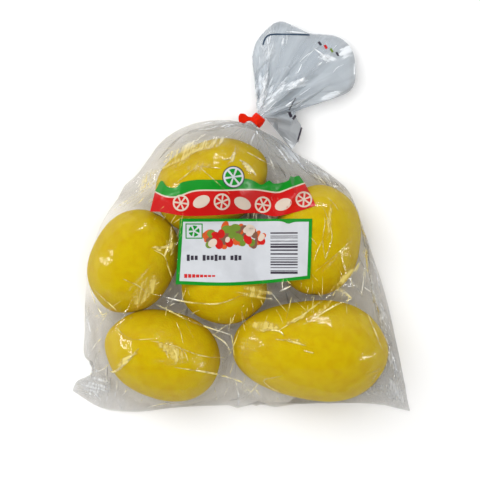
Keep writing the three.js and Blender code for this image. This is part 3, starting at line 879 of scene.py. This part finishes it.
# ---- the film ----
STREAKS_AROUND, STREAKS_ALONG = 0.30, 0.035  # of a step of the grid, on the map that streaks the film
rows = crumpled(film_rows(), 0, FINE_BODY, FACET_PITCH, FACET_DEPTH, 9)
rows, glint_whiteness = creased(crumpled(rows, FINE_NECK, len(rows) - 1, TAIL_PITCH, TAIL_DEPTH, 4))
veil = veil_of(rows)
film_quads = grid_faces(rows.shape[0], rows.shape[1], True)
film_points = rows.reshape(-1, 3)
film = object_from("film", film_points, film_quads, FILM)
# The crumpled patches' whiteness, for the film's painted highlight.
carry(film, "crushed_glint", glint_whiteness)
carry(film, "veil", veil)
row, column = np.divmod(np.arange(len(film_quads)), rows.shape[1])
u = np.stack([column, column + 1, column + 1, column], 1).ravel() * STREAKS_AROUND
v = np.stack([row, row, row + 1, row + 1], 1).ravel() * STREAKS_ALONG
streak_map = film.data.uv_layers.new(name="around and along")
streak_map.data.foreach_set("uv", np.stack([u, v], 1).astype(np.float32).ravel())
dress(film, "film", "bag")

film_tree = BVHTree.FromPolygons(film_points.tolist(), film_quads.tolist())


def film_under(x, y):
    """Height of the film's upper side at a place in plan, and its veil there."""
    hit, _, face, _ = film_tree.ray_cast(Vector((x, y, 200)), Vector((0, 0, -1)))
    return (None, 0) if hit is None else (hit.z, veil[divmod(face, rows.shape[1])])


def land(x, y):
    """Height of the film's upper side at a place in plan, or none beside the bag."""
    return film_under(x, y)[0]


def with_sides(points, count):
    """A curve through points, and the direction to the left of it at each of its points."""
    line = curve(points, count)
    ahead = np.gradient(line, axis=0)
    ahead /= np.linalg.norm(ahead, axis=1)[:, None]
    return line, np.stack([-ahead[:, 1], ahead[:, 0]], 1)


def fine_creases():
    """Short fine creases at random where the film is loose, and a few on the lemons: most of them run
    towards the neck, those low down any way."""
    random = np.random.default_rng(14)
    found = []
    low, high = film_points[:, :2].min(0), film_points[:, :2].max(0)
    while len(found) < FINE_CREASES:
        x, y = random.uniform(low, high)
        z = land(x, y)
        if z is None or z < 1.5:
            continue
        loose = float(smoothstep(clearance(np.array([x, y, z])), 1, 7))
        loose *= FINE_ON_FREE_END if y > FREE_END_FROM else 1
        if random.random() > FINE_ON_LEMONS + (1 - FINE_ON_LEMONS) * loose:
            continue
        ahead = NECK[:2] - (x, y)
        turned = 0.16 + 0.3 * float(smoothstep(y, 10, -60))
        angle = math.atan2(ahead[1], ahead[0]) + random.normal(0, turned)
        long = min(random.gamma(3, 3.0), 0.8 * np.linalg.norm(ahead))
        step = np.array([math.cos(angle), math.sin(angle)]) * long / 2
        bend = np.array([-step[1], step[0]]) * random.normal(0, 0.07)
        points = [(x, y) - step, (x, y) + bend, (x, y) + step]
        if all(land(*p) is not None for p in points):
            found.append((random.uniform(0.13, 0.3), random.uniform(0.1, 0.3), points))
    return found


def crease_strips():
    """A sharp pinch of film along each crease: a narrow lopsided ridge with tapered ends."""
    random = np.random.default_rng(5)
    points, faces, milky = [], [], []
    for width, height, through in CREASES + fine_creases():
        count = max(int(length_of(through) / STRIP_STEP), 6)
        line, asides = with_sides(through, count)
        flip = random.choice([-1, 1])
        start = len(points)
        for i in range(count):
            taper = math.sin(math.pi * (i + 0.5) / count) ** 0.5
            rise = STRIP_RISE * height * taper * random.uniform(0.6, 1.2)
            for offset, share in PINCH:
                x, y = line[i] + asides[i] * flip * offset * width * taper
                z, milk = film_under(x, y)
                if z is None:
                    z = points[-1][2] if points else 0
                points.append((x, y, z + STRIP_GAP + rise * share))
                milky.append(milk)
        quads = grid_faces(count, len(PINCH), False)[:, [0, 3, 2, 1]] + start
        faces.extend(quads if flip > 0 else quads[:, ::-1])
    # Their pale cover is a painted highlight.
    strips = object_from("film_creases", points, faces, CREASE_GLINT)
    carry(strips, "veil", milky)
    return strips


dress(crease_strips(), "film", "bag")


# ---- the print ----
def inside_outline(plan, outline):
    """Whether places in plan are inside a closed outline."""
    x, y = plan[:, 0], plan[:, 1]
    inside = np.zeros(len(plan), bool)
    for (x1, y1), (x2, y2) in zip(outline, np.roll(outline, -1, 0)):
        crosses = (y1 > y) != (y2 > y)
        with np.errstate(divide="ignore", invalid="ignore"):
            inside ^= crosses & (x < (x2 - x1) * (y - y1) / (y2 - y1) + x1)
    return inside


def evenly(points, pitch):
    """A closed outline of straight sides, with points every pitch."""
    out = []
    for a, b in zip(points, np.roll(points, -1, 0)):
        count = max(int(np.ceil(np.linalg.norm(b - a) / pitch)), 1)
        out.extend(a + (b - a) * i / count for i in range(count))
    return np.array(out)


def stamp(name, outlines, ink, lift, pitch=0.8):
    """Fields of one colour, laid on the film: each outline is filled with small triangles. What lies on
    another field is lifted more."""
    points, faces, height = [], [], 0
    for outline in outlines:
        edge = evenly(np.array(outline, float), pitch)
        low, high = edge.min(0), edge.max(0)
        xs = np.arange(low[0] + pitch / 2, high[0], pitch)
        ys = np.arange(low[1] + pitch / 2, high[1], pitch)
        grid = np.stack(np.meshgrid(xs, ys), -1).reshape(-1, 2)
        grid = grid[inside_outline(grid, edge)]
        if len(grid):
            away = np.linalg.norm(grid[:, None] - edge[None], axis=2).min(1)
            grid = grid[away > pitch * 0.45]
        plan = np.vstack([edge, grid])
        ring_edges = [(i, (i + 1) % len(edge)) for i in range(len(edge))]
        made = delaunay_2d_cdt([Vector(p) for p in plan], ring_edges, [], 1, 1e-5)
        start = len(points)
        for p in made[0]:
            under = land(p.x, p.y)
            height = height if under is None else under + lift
            points.append((p.x, p.y, height))
        for face in made[2]:
            a, b, c = (made[0][i] for i in face)
            up = (b - a).cross(c - a) > 0
            faces.append([start + i for i in (face if up else face[::-1])])
    dress(object_from(name, points, faces, INKS[ink]), "print")


def disc(x, y, radius, count=28, stretch=1.0, heading=0.0):
    """A round outline, or an oval one that is stretched along its heading."""
    angle = np.linspace(0, 2 * np.pi, count, endpoint=False)
    local = np.stack([radius * stretch * np.cos(angle), radius * np.sin(angle)], 1)
    h = heading * RAD
    turn = np.array([[math.cos(h), math.sin(h)], [-math.sin(h), math.cos(h)]])
    return local @ turn + np.array([x, y])


def bar(a, b, width):
    """The outline of a straight bar from a to b."""
    a, b = np.array(a, float), np.array(b, float)
    ahead = (b - a) / np.linalg.norm(b - a)
    aside = np.array([-ahead[1], ahead[0]]) * width / 2
    return [a - aside, b - aside, b + aside, a + aside]


def ribbon(points, width):
    """The outline of a line of even width along a smooth curve through points."""
    line, aside = with_sides(points, max(len(points) * 4, 8))
    aside = aside * width / 2
    return np.vstack([line - aside, (line + aside)[::-1]])


def joined(top, bottom):
    """A closed outline: smooth curves through the points of its top and its bottom, and straight ends."""
    outline = []
    for side in (top, [top[-1], bottom[0]], bottom, [bottom[-1], top[0]]):
        outline.append(curve(side, max(2, int(length_of(side) / 1.5)))[:-1])
    return np.vstack(outline)


# Places and sizes of the print, in plan: the band and its hills, the badge, the panel and what is on it,
# and the marks on the free end
BAND_TOP = [(-54.8, 15.4), (-47.7, 12.2), (-40.7, 11.9), (-29.7, 15.4), (-10.8, 15.8), (8.9, 16.5),
            (23.1, 15.0), (27.1, 16.2), (31.8, 18.1), (40.5, 21.3)]
BAND_BOTTOM = [(46.8, 6.7), (38.9, 3.9), (28.6, 1.2), (20.8, 0), (9.7, 2), (-10.8, 0.8), (-30.5, 0),
               (-38.3, 0.4), (-52.5, 2.8), (-57.6, 2.8)]
HILLS = [(39.7, 22.5), (36.5, 26.4), (33.4, 25.2), (31.4, 26), (30.2, 23.2), (24.7, 21.3), (20, 20.9),
         (17.6, 22.8), (12.9, 19.9), (7.4, 22.5), (1.9, 23.6), (-12.3, 22.6), (-29.7, 22.5),
         (-38.7, 20.5), (-40.7, 18.1), (-46.6, 18.5), (-50.5, 22.8), (-54, 17.3)]
SLICES, FIRST_SLICE, SLICE_PITCH, SLICE_HEIGHT = 7, -38, 12.9, 8.2
WEDGE_SHARE = 0.74  # of each step of a wheel, the rest being gaps
BADGE, ICON = (-5, 24.4), (-29.8, -9.4)
FRUIT_DISCS, FRUIT_LEFT, FRUIT_RIGHT, FRUIT_FOOT = 75, -22.5, 14.5, -18.2
BARS_LEFT, BARS_RIGHT, BARS_TOP, BARS_FOOT = 18.3, 35.3, -10.6, -37
BAR_THICK, BAR_GAPS = (0.5, 0.9, 1.4), (0.7, 1.0, 1.5)
CAPTION = (4, 2.8, 2.8, 0, 3.6, 2.8, 2.8, 4, 2.8, 2.8, 0, 2.8, 3.6, 2.8)  # the heights of its blocks
PANEL = joined([(-38.7, -1.6), (44.4, -1.6)],
               [(43.2, -39.4), (30, -40.8), (12.9, -42.5), (-10.8, -43.7), (-41.4, -42.9)])
PANEL_INSIDE = joined([(-36.6, -3.6), (10, -3.2), (26, -3.4), (29.4, -4.8), (33, -3.8), (42.2, -3.6)],
                      [(41.2, -37.4), (29, -38.8), (12.9, -40.4), (-10.8, -41.6), (-39, -40.8)])
TAIL_LINE = [(14, 111.4), (15.6, 116), (18.1, 117.9), (44.2, 118.2)]
TAIL_BARS = [  # name, ink, and each bar's start, end and width
    ("marks", "dark", [((35.2, 77.5), (31, 69.4), 0.6), ((31, 68.4), (32.3, 64.8), 1.9),
                       ((35.1, 65.8), (33.3, 63.3), 1.5), ((39, 58), (36.2, 48.5), 1.1),
                       ((50.2, 113.9), (51.6, 111.5), 1.6), ((61.6, 107), (63, 104.6), 1.2)]),
    ("red", "red", [((54, 111.6), (55.4, 109.2), 1.6)]),
    ("green", "lime", [((57.8, 109.3), (59.2, 106.9), 1.4)]),
]


def print_band():
    stamp("print_band_red", [joined(BAND_TOP, BAND_BOTTOM)], "red", lift=0.16)
    stamp("print_band_green", [joined([(x, y + 0.6) for x, y in BAND_TOP], HILLS)], "green", lift=0.16)
    stamp("print_band_line", [ribbon([(x, y + 0.2) for x, y in BAND_TOP], 0.9)], "cream", lift=0.2)
    slices, pips = [], []
    for i in range(SLICES):
        x = FIRST_SLICE + SLICE_PITCH * i
        y = SLICE_HEIGHT + 0.9 * math.sin(i * 1.1) + (2.2 if i == SLICES - 1 else 0)
        if i % 2:
            slices.append(disc(x, y, 3.6, count=30, stretch=1.55, heading=25 if i % 4 == 1 else -25))
        else:
            slices.append(disc(x, y, 5.2))
            pips += wheel(x, y, inner=0.9, outer=4.1, wedges=6, turn=0.26 * i)
    stamp("print_slices", slices, "cream", lift=0.24)
    stamp("print_slice_wedges", pips, "red", lift=0.3, pitch=0.6)


def wheel(x, y, inner, outer, wedges, turn):
    """The wedges of a slice of fruit."""
    def place(radius, angle):
        return x + radius * math.cos(angle), y + radius * math.sin(angle)

    made = []
    step = 2 * np.pi / wedges
    for i in range(wedges):
        a, b = turn + i * step, turn + (i + WEDGE_SHARE) * step
        made.append([place(inner, (a + b) / 2), *(place(outer, angle) for angle in np.linspace(a, b, 6))])
    return made


def print_badge():
    stamp("print_badge_rim", [disc(*BADGE, 7.0)], "dark", lift=0.2)
    stamp("print_badge", [disc(*BADGE, 6.4)], "white", lift=0.26)
    badge_wheel = wheel(*BADGE, inner=0.9, outer=5.2, wedges=6, turn=0.3)
    stamp("print_badge_wheel", badge_wheel, "green", lift=0.32, pitch=0.6)


def print_panel():
    random = np.random.default_rng(8)
    stamp("print_panel_frame", [PANEL], "green", lift=0.16)
    stamp("print_panel", [PANEL_INSIDE], "white", lift=0.24)
    fruit = {"orange": [], "brown": [], "lime": [], "red": [], "cream": []}
    for _ in range(FRUIT_DISCS):
        x = FRUIT_LEFT + (FRUIT_RIGHT - FRUIT_LEFT) * random.random()
        y = FRUIT_FOOT + (6 + 6.5 * math.sin(math.pi * (x + 24) / 40)) * random.random()
        ink = random.choice(["orange", "orange", "orange", "brown", "brown", "lime", "red", "cream"])
        size, stretch, heading = random.uniform(1.2, 2.6), random.uniform(1, 1.7), random.uniform(0, 180)
        fruit[ink].append(disc(x, y, size, 18, stretch, heading))
    for i, (ink, discs) in enumerate(fruit.items()):
        stamp("print_fruit_" + ink, discs, ink, lift=0.30 + 0.04 * i)
    stamp("print_icon", [bar((-35.2, -9.4), (-24.4, -9.4), 9.6)], "green", lift=0.3)
    stamp("print_icon_inside", [bar((-34.5, -9.4), (-25.1, -9.4), 8.2)], "white", lift=0.36)
    icon_wheel = wheel(*ICON, inner=0.6, outer=3.5, wedges=5, turn=0.9)
    stamp("print_icon_wheel", icon_wheel, "green", lift=0.42, pitch=0.6)
    places = np.arange(-34.4, 4, 2.5)
    caption = [bar((x, -26.2), (x + 1.9, -26.2), tall) for x, tall in zip(places, CAPTION) if tall]
    stamp("print_caption", caption, "dark", lift=0.3, pitch=0.7)
    note = [bar((-36 + 2.5 * i, -37.6), (-34 + 2.5 * i, -37.6), 2.5 - 0.2 * i) for i in range(8)]
    stamp("print_note", note, "red", lift=0.3, pitch=0.7)
    bars, y = [], BARS_TOP
    while y > BARS_FOOT:
        thick = random.choice(BAR_THICK)
        bars.append(bar((BARS_LEFT, y), (BARS_RIGHT, y), thick))
        y -= thick + random.choice(BAR_GAPS)
    stamp("print_bars", bars, "dark", lift=0.3, pitch=0.9)


def print_tail():
    stamp("print_tail_line", [ribbon(TAIL_LINE, 1.0)], "blue", lift=0.25)
    for name, ink, bars in TAIL_BARS:
        stamp("print_tail_" + name, [bar(*each) for each in bars], ink, lift=0.25, pitch=0.6)


print_band()
print_badge()
print_panel()
print_tail()


# ---- lemons ----
def sphere():
    """Directions spread over a sphere, and the triangles between them."""
    mesh = bmesh.new()
    bmesh.ops.create_icosphere(mesh, subdivisions=LEMON_DETAIL, radius=1)
    directions = np.array([v.co for v in mesh.verts])
    faces = [[v.index for v in f.verts] for f in mesh.faces]
    mesh.free()
    return directions, faces


def spread_evenly(count, random):
    """Points spread over a sphere by the golden angle, each moved a little."""
    i = np.arange(count) + 0.5
    height, turn = 1 - 2 * i / count, i * np.pi * (3 - math.sqrt(5))
    flat = np.sqrt(1 - height ** 2)
    points = np.stack([flat * np.cos(turn), flat * np.sin(turn), height], 1)
    points += random.normal(0, 0.35 * math.sqrt(4 * np.pi / count), points.shape)
    return points / np.linalg.norm(points, axis=1)[:, None]


def make_lemon(lemon, directions, faces, seed):
    """The skin with broad dents and pores, and the dry spot where the stem came off."""
    random = np.random.default_rng(seed)
    reach = lemon_reach(directions @ lemon.axis, lemon)
    for _ in range(LEMON_DENTS):
        spot = random.normal(0, 1, 3)
        spot /= np.linalg.norm(spot)
        spread, depth = random.uniform(0.3, 0.7), random.uniform(0.004, 0.016)
        reach *= 1 - depth * np.exp(-((np.arccos(np.clip(directions @ spot, -1, 1)) / spread) ** 2))
    radius = math.sqrt(lemon.length * lemon.width) / 2
    count = int(4 * np.pi * radius ** 2 / PORE_PITCH ** 2)
    pores = spread_evenly(count, random)
    tree = KDTree(count)
    for i, p in enumerate(pores):
        tree.insert(p, i)
    tree.balance()
    nearest = np.array([tree.find(d)[2] for d in directions.tolist()]) * radius
    reach -= PORE_DEPTH * np.exp(-((nearest / PORE_RADIUS) ** 2))
    from_stem = np.arccos(np.clip(-directions @ lemon.axis, -1, 1)) * radius
    reach -= BUTTON_DEPTH * np.exp(-((from_stem / BUTTON_RADIUS) ** 2))
    skin = object_from(lemon.name, lemon.centre + directions * reach[:, None], faces, PEEL_SKIN)
    carry(skin, "stem", smoothstep(from_stem, BUTTON_RADIUS, 0.5 * BUTTON_RADIUS))
    dress(skin, "lemon", "bag")


directions, sphere_faces = sphere()
for number, lemon in enumerate(PLACED):
    make_lemon(lemon, directions, sphere_faces, 20 + number)


# ---- the tape ----
def make_tape():
    """The collar: tape wound round the neck, pinched a little, with the step of its lap."""
    axis, left = directions_of(NECK_HEADING)
    around, along = 72, 17
    inner_radius = NECK_RADIUS + TAPE_GAP

    def place(s, radius, a):
        return NECK + axis * s * TAPE_WIDTH / 2 + radius * (math.cos(a) * left + math.sin(a) * UP)

    points = []
    for i in range(along):
        s = -1 + 2 * i / (along - 1)
        edge = 0.35 * abs(s) ** 8
        for j in range(around):
            a = 2 * np.pi * j / around
            lap = 0.45 * smoothstep(np.array(math.sin(a - 1.2 + 0.5 * s)), -0.05, 0.05)
            pinch = 0.24 * math.sin(5 * a + 1.5 * s) + 0.14 * math.sin(9 * a - 3 * s)
            points.append(place(s, inner_radius + TAPE_THICK - edge + float(lap) - 0.3 + pinch, a))
    points += [place(s, inner_radius, a) for s in (1, -1) for a in 2 * np.pi * np.arange(around) / around]
    faces = grid_faces(along + 2, around, True)
    dress(object_from("tape_collar", points, faces, TAPE), "tape", "tape")


def make_flag():
    """The tape's two ends pressed together: a thin strip with a rounded end, a little buckled."""
    ahead, aside = directions_of(178, 20)
    over = np.cross(ahead, aside)
    first, reach, rounded, width, thick, off = 2.5, 12.8, 1.6, 6.4, 1.0, -0.4
    along, wide = 26, 13
    points = []
    for side in (1, -1):
        for i in range(along):
            s = i / (along - 1)
            for j in range(wide):
                t = -1 + 2 * j / (wide - 1)
                end = max(0.0, s * reach - (reach - rounded)) / rounded
                waist = 0.42 + 0.58 * float(smoothstep(s, 0.35, 0.7))
                half = width / 2 * math.sqrt(1 - 0.75 * end ** 2) * waist
                buckle = 0.5 * math.sin(s * 5 + 0.6 * t) * s + 0.25 * t * t * s
                raised = buckle + side * thick / 2 * (1 - 0.6 * abs(t) ** 6)
                middle = NECK + ahead * (first + (reach - first) * s)
                points.append(middle + aside * (off + half * t) + over * raised)
    number = np.arange(along * wide).reshape(along, wide)
    top = grid_faces(along, wide, False)
    faces = [*top, *(top[:, ::-1] + number.size)]
    rim = np.concatenate([number[0], number[1:, -1], number[-1, -2::-1], number[-2:0:-1, 0]])
    for a, b in zip(rim, np.roll(rim, -1)):
        faces.append([b, a, a + number.size, b + number.size])
    dress(object_from("tape_flag", points, faces, TAPE), "tape", "tape")


make_tape()
make_flag()


# ---- floor, lights and camera ----
def grey(shade):
    return (shade, shade, shade, 1)


def area_light(name, place, size, power, height):
    """A soft lamp that only lights surfaces, or with a height one that only shows in them."""
    light = bpy.data.lights.new(name, "AREA")
    light.energy = power
    light.size = size
    if height:
        light.shape = "RECTANGLE"
        light.size_y = height
    made = bpy.data.objects.new(name, light)
    made.location = place
    made.rotation_euler = (Vector((0, 0, 0.02)) - Vector(place)).to_track_quat("-Z", "Y").to_euler()
    made.visible_diffuse = not height
    made.visible_glossy = bool(height)
    bpy.context.scene.collection.objects.link(made)


CAMERA_PLACE, LENS = (-0.0009, -0.0213, 1.229), 135
LAMPS = [  # name, place, size and power, and the height of those that only show in glossy surfaces
    ("overhead", (-0.25, 0.2, 2.2), 2.6, 60, None),
    ("key", (-1.1, 0.8, 1.3), 1.0, 7, None),
    ("fill", (1.2, -1.2, 0.9), 1.2, 0.6, None),
    ("glint_left", (-1.3, 0.2, 0.5), 0.12, 5, 0.8),
    ("glint_top", (0.1, 1.3, 0.7), 0.7, 5, 0.12),
    ("glint_right", (1.3, -0.3, 0.45), 0.10, 4, 0.7),
]


def make_stage():
    bpy.ops.mesh.primitive_plane_add(size=6, location=(0, 0, 0))
    floor = bpy.context.object
    floor.name = "floor"
    floor.data.materials.append(new_material("floor", Base_Color=grey(0.97), Roughness=0.9)[0])
    world = bpy.data.worlds.new("world")
    world.use_nodes = True
    tree = world.node_tree
    direction = node(tree, "ShaderNodeTexCoord").outputs["Generated"]
    height = node(tree, "ShaderNodeSeparateXYZ", Vector=direction).outputs["Z"]
    sky = ramp(tree, height, ((0.3, grey(0.42)), (0.82, grey(0.08))))
    fill(tree, tree.nodes["Background"], {"Color": sky, "Strength": 1.0})
    bpy.context.scene.world = world
    for lamp in LAMPS:
        area_light(*lamp)
    camera = bpy.data.cameras.new("camera")
    camera.lens = LENS
    held = bpy.data.objects.new("camera", camera)
    held.location = CAMERA_PLACE
    bpy.context.scene.collection.objects.link(held)
    bpy.context.scene.camera = held
    bpy.context.scene.view_settings.view_transform = "Standard"


make_stage()
